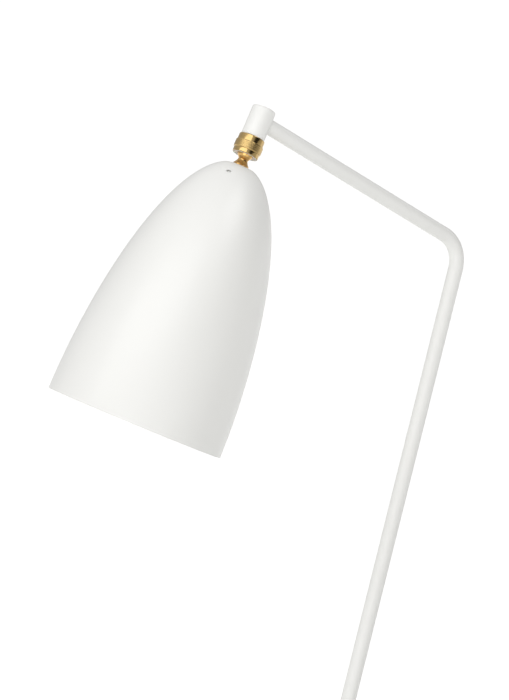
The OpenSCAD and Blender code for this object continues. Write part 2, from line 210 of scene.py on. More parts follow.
class StageSettings(PropertyGroup):
    camera_place: FloatVectorProperty(
        name="Camera place", description="Where the camera stands",
        default=(-1.62093, -2.37906, 1.40522), subtype="TRANSLATION")
    camera_heading: FloatProperty(
        name="Camera heading", description="Direction of view, from +Y towards +X",
        default=radians(35.769), subtype="ANGLE")
    camera_dip: FloatProperty(
        name="Camera dip", description="Angle of view below level",
        default=radians(7.646), subtype="ANGLE")
    camera_lens: FloatProperty(
        name="Lens", description="Focal length in millimetres, on a 36 mm long side",
        default=160.46)
    high_power: FloatProperty(
        name="High light", description="Power of the wide soft light above the camera's left",
        default=15, unit="POWER")
    low_power: FloatProperty(
        name="Low light", description="Power of the soft light low on the camera's left",
        default=8, unit="POWER")
    side_power: FloatProperty(
        name="Side light", description="Power of the soft light high on the camera's right",
        default=13, unit="POWER")
    horizon: FloatProperty(
        name="Horizon", description="Brightness of the studio's white walls", default=0.52)
    ceiling: FloatProperty(
        name="Ceiling", description="Brightness of the studio overhead", default=0.8)
    flag: FloatProperty(
        name="Flag", description="Brightness of the black card on the camera's right", default=0.03)
    flag_turn: FloatProperty(
        name="Flag direction", description="Angle of the black card to the right of the camera",
        default=radians(72), subtype="ANGLE")
    floor_glow: FloatProperty(
        name="Floor glow", description="Light that comes up through the far floor", default=0.52)
    floor_r: FloatProperty(
        name="Floor radius", description="Radius of the round floor", default=90, unit="LENGTH")


class LampSettings(PropertyGroup):
    stand: PointerProperty(type=StandSettings)
    fitting: PointerProperty(type=FittingSettings)
    shade: PointerProperty(type=ShadeSettings)
    bulb: PointerProperty(type=BulbSettings)
    colours: PointerProperty(type=ColourSettings)
    stage: PointerProperty(type=StageSettings)


# Frames


def axes(origin, up, front):
    """A frame at origin with +Z along up and +X as near to front as it can be."""
    z = Vector(up).normalized()
    y = z.cross(Vector(front)).normalized()
    matrix = Matrix((y.cross(z), y, z)).transposed().to_4x4()
    matrix.translation = origin
    return matrix


def on_head(z=0.0):
    """The fitting's axis, z above the arm's centre line, with +X down the arm."""
    lift = bpy.context.scene.lamp.fitting.ball_drop + z
    return axes(BALL + HEAD_UP * lift, HEAD_UP, ARM_DOWN)


def on_shade(t=0.0):
    """The shade's axis at t below the ball's centre. The record's swing plane gives +X."""
    swing_axis = Vector(joints["swivel_swing"]["axis"])
    return axes(BALL + SHADE_DOWN * t, SHADE_DOWN, swing_axis.cross(SHADE_DOWN))


def on_post(s=0.0):
    """The post's axis at s from the floor, with +X to the rear."""
    return axes(POST_UP * s, POST_UP, GLAND_OUT)


def head_centre():
    return BALL + HEAD_UP * bpy.context.scene.lamp.fitting.ball_drop


def elbow():
    """Where the post's centre line meets the arm's, both in the plane Y = 0."""
    head = head_centre()
    slant = ARM_DOWN.x * POST_UP.z - ARM_DOWN.z * POST_UP.x
    return head + ARM_DOWN * ((head.z * POST_UP.x - head.x * POST_UP.z) / slant)


def leg_line(foot):
    """A rear leg's start in the yoke, its direction to the floor and its length."""
    stand = bpy.context.scene.lamp.stand
    side = Vector(stand.socket_at)
    side.y *= -1 if foot.y > 0 else 1
    start = POST_UP * stand.yoke_at + side
    return start, (foot - start).normalized(), (foot - start).length


# Meshes


def ring(radius, z, steps=WEDGES, wave=None):
    """A circle of points about Z; wave(angle) adds to its radius."""
    points = []
    for i in range(steps):
        angle = 2 * pi * i / steps
        r = radius + (wave(angle) if wave else 0)
        points.append((r * cos(angle), r * sin(angle), z))
    return points


def skin(rings, loop):
    """The faces between rings of equally many points. With loop, the last ring joins the first."""
    steps = len(rings[0])
    faces = []
    for row in range(len(rings) if loop else len(rings) - 1):
        a, b = row * steps, (row + 1) % len(rings) * steps
        faces += [(a + i, a + (i + 1) % steps, b + (i + 1) % steps, b + i) for i in range(steps)]
    mesh = bpy.data.meshes.new("skin")
    mesh.from_pydata([point for row in rings for point in row], [], faces)
    return mended(mesh)


def mended(mesh):
    """Welds points that coincide, closes pinholes and faces everything outwards."""
    tidy = bmesh.new()
    tidy.from_mesh(mesh)
    bmesh.ops.remove_doubles(tidy, verts=tidy.verts, dist=0.1 * MICRON)
    bmesh.ops.dissolve_degenerate(tidy, edges=tidy.edges, dist=0.1 * MICRON)
    gaps = [edge for edge in tidy.edges if len(edge.link_faces) == 1]
    if gaps:
        bmesh.ops.holes_fill(tidy, edges=gaps, sides=8)
    bmesh.ops.recalc_face_normals(tidy, faces=tidy.faces)
    tidy.to_mesh(mesh)
    tidy.free()
    return mesh


def turned(outline, steps=WEDGES):
    """An outline of (radius, z) points, turned about Z. It closes itself unless it ends on the axis."""
    rings = [ring(r, z, steps) for r, z in outline]
    return skin(rings, loop=min(outline[0][0], outline[-1][0]) > 0)


def rounded(corners):
    """A closed outline. A corner given as (radius, z, rounding) becomes a short curve."""
    outline = []
    for i, corner in enumerate(corners):
        here = Vector(corner[:2])
        if len(corner) == 2:
            outline.append(here)
            continue
        before = Vector(corners[i - 1][:2]) - here
        after = Vector(corners[(i + 1) % len(corners)][:2]) - here
        reach = corner[2] / tan(before.angle(after) / 2)
        start = here + before.normalized() * min(reach, before.length * 0.49)
        end = here + after.normalized() * min(reach, after.length * 0.49)
        for step in range(ROUND + 1):
            u = step / ROUND
            outline.append(start * (1 - u) ** 2 + here * (2 * u * (1 - u)) + end * u**2)
    return [tuple(point) for point in outline]


def hollow(path, side, outer, inner, steps=64):
    """A tube along a flat path of points; side is the direction across the path's plane."""
    def rings(radius):
        found = []
        for i, point in enumerate(path):
            along = (path[min(i + 1, len(path) - 1)] - path[max(i - 1, 0)]).normalized()
            across = side.cross(along)
            turns = [2 * pi * k / steps for k in range(steps)]
            found.append([
                point + side * (radius * cos(turn)) + across * (radius * sin(turn)) for turn in turns])
        return found
    return skin(rings(outer) + rings(inner)[::-1], loop=True)


def settled(obj):
    """The object with its modifiers applied."""
    done = bpy.data.meshes.new_from_object(obj.evaluated_get(bpy.context.evaluated_depsgraph_get()))
    mended(done)
    plain = obj.data
    obj.modifiers.clear()
    obj.data = done
    bpy.data.meshes.remove(plain)
    return obj


def combine(obj, operation, mesh, place=None):
    """Adds, cuts away or keeps what a second mesh holds."""
    tool = bpy.data.objects.new("tool", mesh)
    tool.matrix_world = place or Matrix.Identity(4)
    bpy.context.scene.collection.objects.link(tool)
    boolean = obj.modifiers.new("combine", "BOOLEAN")
    boolean.operation = operation
    boolean.solver = "EXACT"
    boolean.object = tool
    bpy.context.view_layer.update()
    settled(obj)
    bpy.data.objects.remove(tool)
    return obj


def melted(obj, voxel, rounds):
    """One skin over joined solids, with the corners between them filled in."""
    remesh = obj.modifiers.new("melt", "REMESH")
    remesh.mode = "VOXEL"
    remesh.voxel_size = voxel
    smooth = obj.modifiers.new("smooth", "SMOOTH")
    smooth.iterations = rounds
    smooth.factor = 0.5
    return settled(obj)


def rod(radius, low, high, steps=64):
    return turned([(0, low), (radius, low), (radius, high), (0, high)], steps)


def add(name, mesh, place=None):
    """A new object of the scene, in its place."""
    mesh.name = name
    obj = bpy.data.objects.new(name, mesh)
    obj.matrix_world = place or Matrix.Identity(4)
    bpy.context.scene.collection.objects.link(obj)
    return obj


def finish_piece(obj, body, slot, *nodes, look=None):
    """Writes a piece's place into its mesh, shades it, gives it the finish of its slot or of look, puts it on its
    body and hides the CAD nodes that it stands in for.
    """
    obj.data.transform(obj.matrix_world)
    obj.matrix_world = Matrix.Identity(4)
    obj.data.shade_smooth()
    obj.data.set_sharp_from_angle(angle=CREASE)
    obj.data.materials.clear()
    obj.data.materials.append(finishes()[look or slot])
    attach(obj, body)
    if nodes:
        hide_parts(*nodes)
    return obj


# Shader building


class Wire:
    """A value that comes out of a shader node. Python's arithmetic on it adds Math nodes."""

    def __init__(self, finish, socket):
        self.finish = finish
        self.socket = socket

    def __add__(self, other):
        return self.finish.maths("ADD", self, other)

    def __sub__(self, other):
        return self.finish.maths("SUBTRACT", self, other)

    def __rsub__(self, other):
        return self.finish.maths("SUBTRACT", other, self)

    def __mul__(self, other):
        return self.finish.maths("MULTIPLY", self, other)

    __radd__ = __add__
    __rmul__ = __mul__


class Nodes:
    """Makes the nodes of one tree."""

    def __init__(self, tree):
        self.tree = tree

    def node(self, kind, settings, sockets, output=0):
        """A node of that kind. Its settings are set first, and then its sockets take values or wires."""
        node = self.tree.nodes.new(kind)
        for name, value in settings.items():
            if name == "stops":
                for element, (place, level) in zip(node.color_ramp.elements, value):
                    element.position = place
                    element.color = (level, level, level, 1)
            else:
                setattr(node, name, value)
        for name, value in sockets.items():
            self.feed(node.inputs[name], value)
        return Wire(self, node.outputs[output])

    def feed(self, socket, value):
        if isinstance(value, Wire):
            self.tree.links.new(value.socket, socket)
        else:
            socket.default_value = value

    def maths(self, operation, first, second):
        return self.node("ShaderNodeMath", {"operation": operation}, {0: first, 1: second})

    def place(self, kind):
        return self.node("ShaderNodeTexCoord", {}, {}, kind)

    def dot(self, vector, axis):
        """How far a vector reaches along an axis."""
        return self.node(
            "ShaderNodeVectorMath", {"operation": "DOT_PRODUCT"}, {0: vector, 1: axis}, "Value")

    def ramp(self, value, low, high, first, last):
        """Runs smoothly from first to last as the value goes from low to high."""
        return self.node("ShaderNodeMapRange", {"interpolation_type": "SMOOTHSTEP"}, {
            "Value": value, "From Min": low, "From Max": high, "To Min": first, "To Max": last})


class Finish(Nodes):
    """One procedural material, with its principled shader."""

    def __init__(self, name):
        self.material = bpy.data.materials.new(name)
        self.material.use_nodes = True
        super().__init__(self.material.node_tree)
        self.shader = self.tree.nodes["Principled BSDF"]

    def noise(self, scale, detail=2.0):
        """Noise with that many cells in a metre, in the piece's own frame."""
        place = self.place("Object")
        return self.node("ShaderNodeTexNoise", {}, {"Vector": place, "Scale": scale, "Detail": detail})

    def rings(self, scale, axis):
        """Noise that varies only along an axis, as a lathe tool leaves it."""
        along = self.dot(self.place("Object"), axis)
        return self.node("ShaderNodeTexNoise", {"noise_dimensions": "1D"}, {"W": along, "Scale": scale})

    def contrast(self, value, low, high):
        """0 below low and 1 above high."""
        return self.node("ShaderNodeValToRGB", {"stops": ((low, 0), (high, 1))}, {"Fac": value})

    def blend(self, share, first, second):
        """A colour between two, by share. A Mix node's colour sockets are its 7th, 8th and 3rd."""
        colours = {"Factor": share, 6: (*first, 1), 7: (*second, 1)}
        return self.node("ShaderNodeMix", {"data_type": "RGBA"}, colours, output=2)

    def bump(self, height, depth, strength):
        return self.node("ShaderNodeBump", {}, {"Height": height, "Distance": depth, "Strength": strength})

    def shade(self, **sockets):
        """Sets the shader's sockets, whose names are given with _ for each space."""
        for name, value in sockets.items():
            self.feed(self.shader.inputs[name.replace("_", " ")], value)
        return self.material


def tinted(colour, level):
    return tuple(channel * level for channel in colour)


# Finishes


def paint(colours):
    """Sprayed enamel: a faint orange peel, and a little unevenness in the gloss."""
    finish = Finish("satin_paint")
    peel = finish.noise(420, detail=3)
    cloud = finish.noise(7, detail=3)
    base = finish.blend(cloud, tinted(colours.paint, 0.985), tinted(colours.paint, 1.015))
    return finish.shade(
        Base_Color=base, Roughness=0.34 + 0.08 * cloud, Coat_Weight=0.25, Coat_Roughness=0.18,
        Normal=finish.bump(peel, 0.02 * MM, 0.5))


def polished_brass(name, colour, colours, axis):
    """Turned brass: hair-fine rings round the axis, under thin lacquer with a little tarnish."""
    finish = Finish(name)
    rings = finish.rings(2600, axis)
    cloud = finish.contrast(finish.noise(160, detail=4), 0.42, 0.75)
    base = finish.blend(cloud * 0.3, colour, colours.brass_aged)
    return finish.shade(
        Base_Color=base, Metallic=1.0, Roughness=0.12 + 0.06 * rings + 0.05 * cloud, Coat_Weight=0.6,
        Coat_Roughness=0.12, Normal=finish.bump(rings, 0.004 * MM, 0.5))


def knurled_brass(colours):
    """Satin brass, a little darker than the plain bands, with random patches of aged brass."""
    finish = Finish("knurled_brass")
    grain = finish.noise(3000, detail=2)
    cloud = finish.noise(140, detail=3)
    base = finish.blend(cloud * 0.4, tinted(colours.brass, 0.92), colours.brass_aged)
    return finish.shade(
        Base_Color=base, Metallic=1.0, Roughness=0.34 + 0.08 * grain,
        Normal=finish.bump(grain, 0.005 * MM, 0.3))


def nylon(colours):
    finish = Finish("natural_nylon")
    grain = finish.noise(1500, detail=3)
    base = finish.blend(finish.noise(90), tinted(colours.nylon, 0.93), colours.nylon)
    return finish.shade(
        Base_Color=base, Roughness=0.42 + 0.1 * grain, Subsurface_Weight=0.15, Subsurface_Scale=2 * MM,
        Normal=finish.bump(grain, 0.01 * MM, 0.5))


def rubber(colours):
    """Moulded rubber: a fine pebble and a grey bloom."""
    finish = Finish("black_rubber")
    pebble = finish.noise(1300, detail=4)
    bloom = finish.contrast(finish.noise(60, detail=4), 0.45, 0.8)
    base = finish.blend(bloom * 0.5, colours.rubber, tinted(colours.rubber, 2.6))
    return finish.shade(
        Base_Color=base, Roughness=0.62 + 0.2 * pebble, Specular_IOR_Level=0.35,
        Normal=finish.bump(pebble, 0.04 * MM, 0.7))


def zinc(colours):
    """Plated steel: a soft grey sheen with faint stains."""
    finish = Finish("zinc_steel")
    grain = finish.noise(1800, detail=3)
    stain = finish.contrast(finish.noise(240, detail=4), 0.45, 0.8)
    base = finish.blend(stain * 0.5, colours.zinc, tinted(colours.zinc, 0.7))
    return finish.shade(
        Base_Color=base, Metallic=1.0, Roughness=0.28 + 0.14 * grain + 0.1 * stain,
        Normal=finish.bump(grain, 0.008 * MM, 0.5))


def plastic(name, colour, gloss):
    """Moulded plastic or glazed ware, with a fine spark-eroded grain."""
    finish = Finish(name)
    grain = finish.noise(2200, detail=2)
    base = finish.blend(finish.noise(40), tinted(colour, 0.96), colour)
    return finish.shade(
        Base_Color=base, Roughness=gloss + 0.1 * grain, Normal=finish.bump(grain, 0.008 * MM, 0.4))


def cable(colours):
    """Soft white vinyl, with a slight waviness from its twisted cores."""
    finish = Finish("white_cable")
    wave = finish.noise(120, detail=1)
    base = finish.blend(wave, tinted(colours.plastic, 0.93), colours.plastic)
    return finish.shade(
        Base_Color=base, Roughness=0.4 + 0.12 * wave, Normal=finish.bump(wave, 0.1 * MM, 0.5))


def black_glass():
    finish = Finish("black_glass")
    flow = finish.noise(300, detail=2)
    base = finish.blend(flow, (0.01, 0.01, 0.012), (0.03, 0.028, 0.03))
    return finish.shade(
        Base_Color=base, Roughness=0.08 + 0.1 * flow, Normal=finish.bump(flow, 0.05 * MM, 0.4))


def opal_glass(colours):
    """White-lined glass: glossy outside, with a milky depth."""
    finish = Finish("opal_glass")
    cloud = finish.noise(45, detail=3)
    base = finish.blend(cloud, tinted(colours.glass, 0.97), colours.glass)
    return finish.shade(
        Base_Color=base, Roughness=0.16 + 0.06 * cloud, Subsurface_Weight=0.4, Subsurface_Scale=6 * MM,
        Normal=finish.bump(cloud, 0.05 * MM, 0.3))


def finishes():
    """The lamp's materials by slot, made once."""
    if not _finishes:
        colours = bpy.context.scene.lamp.colours
        _finishes.update(
            stand_paint=paint(colours), shade_paint=paint(colours),
            brass=polished_brass("polished_brass", colours.brass, colours, HEAD_UP),
            shade_brass=polished_brass("turned_brass", colours.brass_warm, colours, SHADE_DOWN),
            knurl=knurled_brass(colours), white_nylon=nylon(colours), black_rubber=rubber(colours),
            zinc_steel=zinc(colours), white_cable=cable(colours),
            holder_white=plastic("holder_white", colours.plastic, 0.3),
            holder_core=plastic("holder_porcelain", tinted(colours.plastic, 0.97), 0.12),
            bulb_metal=zinc(colours), black_glass=black_glass(), opal_glass=opal_glass(colours))
    return _finishes


_finishes = {}


# Operators


class PieceOperator:
    """What the lamp's operators share: each one makes its pieces from the scene's settings."""

    bl_options = {"REGISTER", "UNDO"}

    def execute(self, context):
        self.make(context.scene.lamp)
        return {"FINISHED"}


class LAMP_OT_tube(PieceOperator, Operator):
    """Bends the one tube that is both post and arm"""

    bl_idname = "lamp.tube"
    bl_label = "Bent tube"

    def make(self, lamp):
        stand = lamp.stand
        corner = elbow()
        turn = POST_UP.angle(-ARM_DOWN)
        cut_back = stand.bend_r * tan(turn / 2)
        centre = corner - POST_UP * cut_back - GLAND_OUT * stand.bend_r
        turns = [turn * i / BEND_STEPS for i in range(BEND_STEPS + 1)]
        arc = [centre + (GLAND_OUT * cos(at) + POST_UP * sin(at)) * stand.bend_r for at in turns]
        arm_end = head_centre() + ARM_DOWN * stand.arm_end
        path = [POST_UP * stand.foot_gap, POST_UP * stand.yoke_at] + arc + [arm_end]
        outer = stand.tube_d / 2
        tube = add("lamp_tube", hollow(path, ACROSS, outer, outer - stand.tube_wall, FEW_WEDGES))
        gland = Vector(mounts["cable_entry"]["pos_m"]).dot(POST_UP)
        hole = rod(stand.gland_neck_d / 2, 0, stand.tube_d)
        combine(tube, "DIFFERENCE", hole, axes(POST_UP * gland, GLAND_OUT, POST_UP))
        finish_piece(tube, "stand", "stand_paint", "main_tube")


class LAMP_OT_legs(PieceOperator, Operator):
    """Makes the cast yoke and the two rear legs"""

    bl_idname = "lamp.legs"
    bl_label = "Yoke and rear legs"

    def make(self, lamp):
        stand = lamp.stand
        outer = stand.tube_d / 2
        half = stand.collar_len / 2
        collar = rounded([(0, -half), (stand.collar_d / 2, -half, 1.5 * MM),
                          (stand.collar_d / 2, half, 1.5 * MM), (0, half)])
        yoke = add("leg_yoke_cast", turned(collar, FEW_WEDGES), on_post(stand.yoke_at))
        lines = {name: leg_line(foot) for name, foot in REAR_FEET.items()}
        socket = rounded([
            (0, -stand.socket_taper), (outer, -stand.socket_taper, 2 * MM), (stand.socket_d / 2, 0, 2 * MM),
            (stand.socket_d / 2, stand.socket_len, 1.2 * MM), (0, stand.socket_len)])
        for start, way, _ in lines.values():
            combine(yoke, "UNION", turned(socket, FEW_WEDGES), axes(start, way, POST_UP))
        melted(yoke, MELT_CELL, MELT_ROUNDS)
        bore = rod(outer, -half - CUT_PAST, half + CUT_PAST, FEW_WEDGES)
        combine(yoke, "DIFFERENCE", bore, on_post(stand.yoke_at))
        for start, way, _ in lines.values():
            bore = rod(outer, stand.leg_start, stand.socket_len + CUT_PAST, FEW_WEDGES)
            combine(yoke, "DIFFERENCE", bore, axes(start, way, POST_UP))
        finish_piece(yoke, "stand", "stand_paint", "leg_yoke")
        for name, (start, way, length) in lines.items():
            path = [start + way * stand.leg_start, start + way * (length - stand.leg_gap)]
            side = way.cross(Vector((0, 0, 1))).normalized()
            node = name.replace("foot", "leg")
            leg = add(node + "_tube", hollow(path, side, outer, outer - stand.tube_wall))
            finish_piece(leg, "stand", "stand_paint", node)


class LAMP_OT_feet(PieceOperator, Operator):
    """Moulds the three rubber feet"""

    bl_idname = "lamp.feet"
    bl_label = "Rubber feet"

    def make(self, lamp):
        stand = lamp.stand
        self.foot(stand, "front_foot", Vector((0, 0, 0)), POST_UP, stand.foot_gap)
        for name, place in REAR_FEET.items():
            self.foot(stand, name, place, -leg_line(place)[1], stand.leg_gap)

    def foot(self, stand, name, place, up, gap):
        outer = stand.tube_d / 2
        wall = outer + stand.foot_wall
        edge = stand.foot_d / 2
        height = stand.foot_pad
        pad = rounded([(0, 0), (edge, 0, 0.8 * MM), (edge, height, 2 * MM), (0, height)])
        groove = wall - 0.7 * MM
        sleeve = [(0, 0), (wall, 0)]
        for i in range(3):
            z = stand.foot_sleeve - (9 - 3 * i) * MM
            sleeve += [(wall, z, 0.3 * MM), (groove, z + 0.4 * MM, 0.3 * MM),
                       (groove, z + 1 * MM, 0.3 * MM), (wall, z + 1.4 * MM, 0.3 * MM)]
        sleeve += [(wall, stand.foot_sleeve, 1 * MM), (0, stand.foot_sleeve)]
        lean = axes((0, 0, 0), up, (1, 0, 0))
        piece = add(name + "_rubber", turned(rounded(sleeve), FEW_WEDGES), lean)
        combine(piece, "DIFFERENCE", rod(stand.foot_d, -stand.foot_d, 1 * MM))
        combine(piece, "UNION", turned(pad, 100))
        combine(piece, "DIFFERENCE", rod(outer, gap, stand.foot_sleeve + CUT_PAST, FEW_WEDGES), lean)
        piece.matrix_world = Matrix.Translation(place) @ piece.matrix_world
        finish_piece(piece, "stand", "black_rubber", name)


class LAMP_OT_gland(PieceOperator, Operator):
    """Moulds the ribbed gland where the lead enters the post"""

    bl_idname = "lamp.gland"
    bl_label = "Cable gland"

    def make(self, lamp):
        stand = lamp.stand
        mount = mounts["cable_entry"]
        tube = stand.tube_d / 2
        flange = stand.gland_flange_d / 2
        end = stand.gland_end
        outline = [(0, tube / 3), (flange, tube / 3), (flange, tube + 1.6 * MM, 0.6 * MM)]
        for i in range(2):
            z = tube + (1.8 + 1.5 * i) * MM
            r = (5.2 - 0.4 * i) * MM
            outline += [(r - 0.6 * MM, z, 0.2 * MM), (r - 0.6 * MM, z + 0.6 * MM, 0.2 * MM),
                        (r, z + 0.7 * MM, 0.2 * MM), (r - 0.1 * MM, z + 1.4 * MM, 0.2 * MM)]
        outline += [(4.5 * MM, end, 0.5 * MM), (0, end)]
        height = Vector(mount["pos_m"]).dot(POST_UP)
        place = axes(POST_UP * height, GLAND_OUT, POST_UP)
        gland = add("cable_gland_rubber", turned(rounded(outline), FEW_WEDGES), place)
        combine(gland, "DIFFERENCE", rod(tube, -2 * flange, 2 * flange, 100), on_post(height))
        neck = rod(stand.gland_neck_d / 2, tube - stand.tube_wall, tube + 0.7 * MM, 90)
        combine(gland, "UNION", neck, place)
        combine(gland, "DIFFERENCE", rod(mount["dims"]["r_mm"] * MM, 0, 2 * end, 80), place)
        finish_piece(gland, "stand", "black_rubber", "cable_gland")


class LAMP_OT_fitting(PieceOperator, Operator):
    """Turns the fitting at the arm's end, with the braze where the arm joins it"""

    bl_idname = "lamp.fitting"
    bl_label = "Arm fitting"

    def make(self, lamp):
        sizes = lamp.fitting
        r = sizes.head_d / 2
        top = sizes.head_top
        spigot = sizes.thread_d / 2 - SLACK
        cup = sizes.cup_bore / 2
        chamber = sizes.spring_bore / 2
        low = -sizes.head_end
        room = -sizes.ball_drop + sizes.spring_top
        outline = rounded([
            (0, top), (r, top, 1.9 * MM), (r, -sizes.head_low, 0.35 * MM), (spigot, -sizes.head_low),
            (spigot, low, 0.4 * MM), (cup, low, 0.3 * MM), (cup, room), (chamber, room),
            (chamber, top - sizes.head_wall), (0, top - sizes.head_wall)])
        fitting = add("arm_fitting", turned(outline))
        across = axes((0, 0, 0), (1, 0, 0), (0, 0, 1))
        combine(fitting, "DIFFERENCE", rod(lamp.stand.tube_d / 2, 0, sizes.head_d, FEW_WEDGES), across)
        fitting.matrix_world = on_head()
        finish_piece(fitting, "stand", "stand_paint", "head_fitting")
        braze = add("braze_fillet", self.braze(r, lamp.stand.tube_d / 2, sizes.braze_leg), on_head())
        finish_piece(braze, "stand", "stand_paint")

    def braze(self, post_r, tube_r, leg):
        """A small hollow fillet round the arm where it meets the fitting."""
        rings = []
        for i in range(FEW_WEDGES):
            angle = 2 * pi * i / FEW_WEDGES
            section = []
            for step in range(ROUND + 1):
                u = step / ROUND
                out = tube_r + leg * (1 - sqrt(1 - (1 - u) ** 2))
                ahead = leg * (1 - sqrt(1 - u**2))
                y, z = out * cos(angle), out * sin(angle)
                section.append((sqrt(post_r**2 - y**2) + ahead, y, z))
            inner = tube_r - LAP
            y, z = inner * cos(angle), inner * sin(angle)
            section.append((sqrt(post_r**2 - y**2) - 0.1 * MM, y, z))
            rings.append(section)
        return skin(rings, loop=True)


class LAMP_OT_clamp_nut(PieceOperator, Operator):
    """Turns and knurls the brass nut that clamps the ball"""

    bl_idname = "lamp.clamp_nut"
    bl_label = "Clamp nut"

    def make(self, lamp):
        sizes = lamp.fitting
        upper, knurled, lower = sizes.nut_bands
        top = -sizes.head_low - sizes.nut_gap
        low = top - upper - knurled - lower
        bore = sizes.thread_d / 2
        band = sizes.nut_d / 2
        steps = sizes.knurl_teeth * TOOTH_STEPS
        groove = -sizes.ball_drop - sizes.groove_at
        groove_top = groove + sizes.groove_h
        floor = bore + GROOVE_DEEP
        below = rounded([
            (floor, groove_top), (floor, groove), (bore, groove), (bore, low, 0.3 * MM),
            (band, low, 0.5 * MM), (band, low + lower, 0.25 * MM)])
        above = rounded([
            (band, top - upper, 0.25 * MM), (band, top, 0.6 * MM), (bore, top, 0.4 * MM),
            (bore, groove_top)])
        rings = [ring(r, z, steps) for r, z in below]
        rings += self.knurl(sizes, low + lower, steps)
        rings += [ring(r, z, steps) for r, z in above]
        nut = add("clamp_nut_knurled", skin(rings, loop=True), on_head())
        edge = band + 0.1 * MM  # every knurled face lies outside this radius
        for face in nut.data.polygons:
            on_band = low + lower < face.center.z < top - upper
            face.material_index = int(on_band and face.center.xy.length > edge)
        finish_piece(nut, "nut", "brass", "clamp_nut")
        nut.data.materials.append(finishes()["knurl"])

    def knurl(self, sizes, low, steps):
        """Rows of the knurled band: two sets of grooves that cross, and fade out at a chamfer."""
        knurled = sizes.nut_bands[1]
        radius = sizes.knurl_d / 2
        chamfer = 0.3 * MM
        pitch = 2 * pi * radius / sizes.knurl_teeth
        rows = round((knurled - 2 * chamfer) / pitch * TOOTH_STEPS)
        found = [ring(radius - chamfer, low, steps)]
        for row in range(rows + 1):
            height = chamfer + (knurled - 2 * chamfer) * row / rows
            fade = min(1, row / 2, (rows - row) / 2)

            def groove(angle):
                across = angle * sizes.knurl_teeth / (2 * pi)
                along = height / pitch
                first = abs(2 * ((across + along) % 1) - 1)
                second = abs(2 * ((across - along) % 1) - 1)
                return -sizes.knurl_depth * (1 - min(first, second) * fade)

            found.append(ring(radius, low + height, steps, groove))
        return found + [ring(radius - chamfer, low + knurled, steps)]


class LAMP_OT_seat_ring(PieceOperator, Operator):
    """Turns the nylon ring that the ball sits in"""

    bl_idname = "lamp.seat_ring"
    bl_label = "Seat ring"

    def make(self, lamp):
        sizes = lamp.fitting
        ball = -sizes.ball_drop
        rim = sizes.ring_d / 2
        top = -sizes.head_low - sizes.nut_gap - sum(sizes.nut_bands) - PLAY
        low = top - sizes.ring_h
        seat = sizes.ball_d / 2 + SLACK
        sleeve = sizes.thread_d / 2 - SLACK
        lip = sleeve + GROOVE_DEEP
        lip_low = ball - sizes.groove_at + PLAY
        lip_top = lip_low + sizes.groove_h - 2 * PLAY
        head = ball + 1 * MM
        outline = rounded([
            (rim, low, 0.3 * MM), (rim, top, 0.3 * MM), (sleeve, top), (sleeve, lip_low), (lip, lip_low),
            (lip, lip_top), (sleeve, lip_top), (sleeve, head), (seat, head)])
        # The underside rises from its narrow rim to the ball, so that little of the ring shows.
        drop = ball - low - sizes.ring_dish
        outline += [(sqrt(seat**2 - (drop * i / 8) ** 2), ball - drop * i / 8) for i in range(9)]
        outline.append((rim - 0.6 * MM, low + 0.05 * MM))
        seat_ring = add("seat_ring_turned", turned(outline), on_head())
        finish_piece(seat_ring, "seat", "white_nylon", "seat_ring")


class LAMP_OT_ball_stud(PieceOperator, Operator):
    """Turns the brass ball with its neck and flared stem"""

    bl_idname = "lamp.ball_stud"
    bl_label = "Ball and stem"

    def make(self, lamp):
        sizes = lamp.fitting
        gap = lamp.shade.gap
        ball = sizes.ball_d / 2
        neck = sizes.neck_d / 2
        bore = sizes.stud_bore / 2
        nipple = sizes.nipple_d / 2
        foot = sizes.stem_d / 2
        flare = 1.7  # power of the stem's curve
        ease = 0.12  # angle that the ball's outline leaves out before the neck
        first = -asin(sizes.ball_flat / ball)
        last = acos(neck / ball) - ease
        neck_at = sqrt(ball**2 - neck**2) + 0.35 * MM
        stem_end = gap - 1.2 * MM
        outline = []
        for i in range(25):
            angle = first + (last - first) * i / 24
            outline.append((ball * cos(angle), ball * sin(angle)))
        for i in range(13):
            u = i / 12
            outline.append((neck + (foot - neck) * u**flare, neck_at + (stem_end - neck_at) * u))
        edge = rounded([(foot, gap - 1.1 * MM, 0.2 * MM), (foot, gap, 0.25 * MM), (nipple, gap)])
        chamfer = 0.4 * MM
        end = sizes.nipple_end
        outline += edge[ROUND + 1:]
        outline += [(nipple, end - chamfer), (nipple - chamfer, end), (bore, end), (bore, -sizes.ball_flat)]
        stud = add("ball_and_stem", turned(outline), on_shade())
        finish_piece(stud, "shade", "brass", "ball_stud", look="shade_brass")


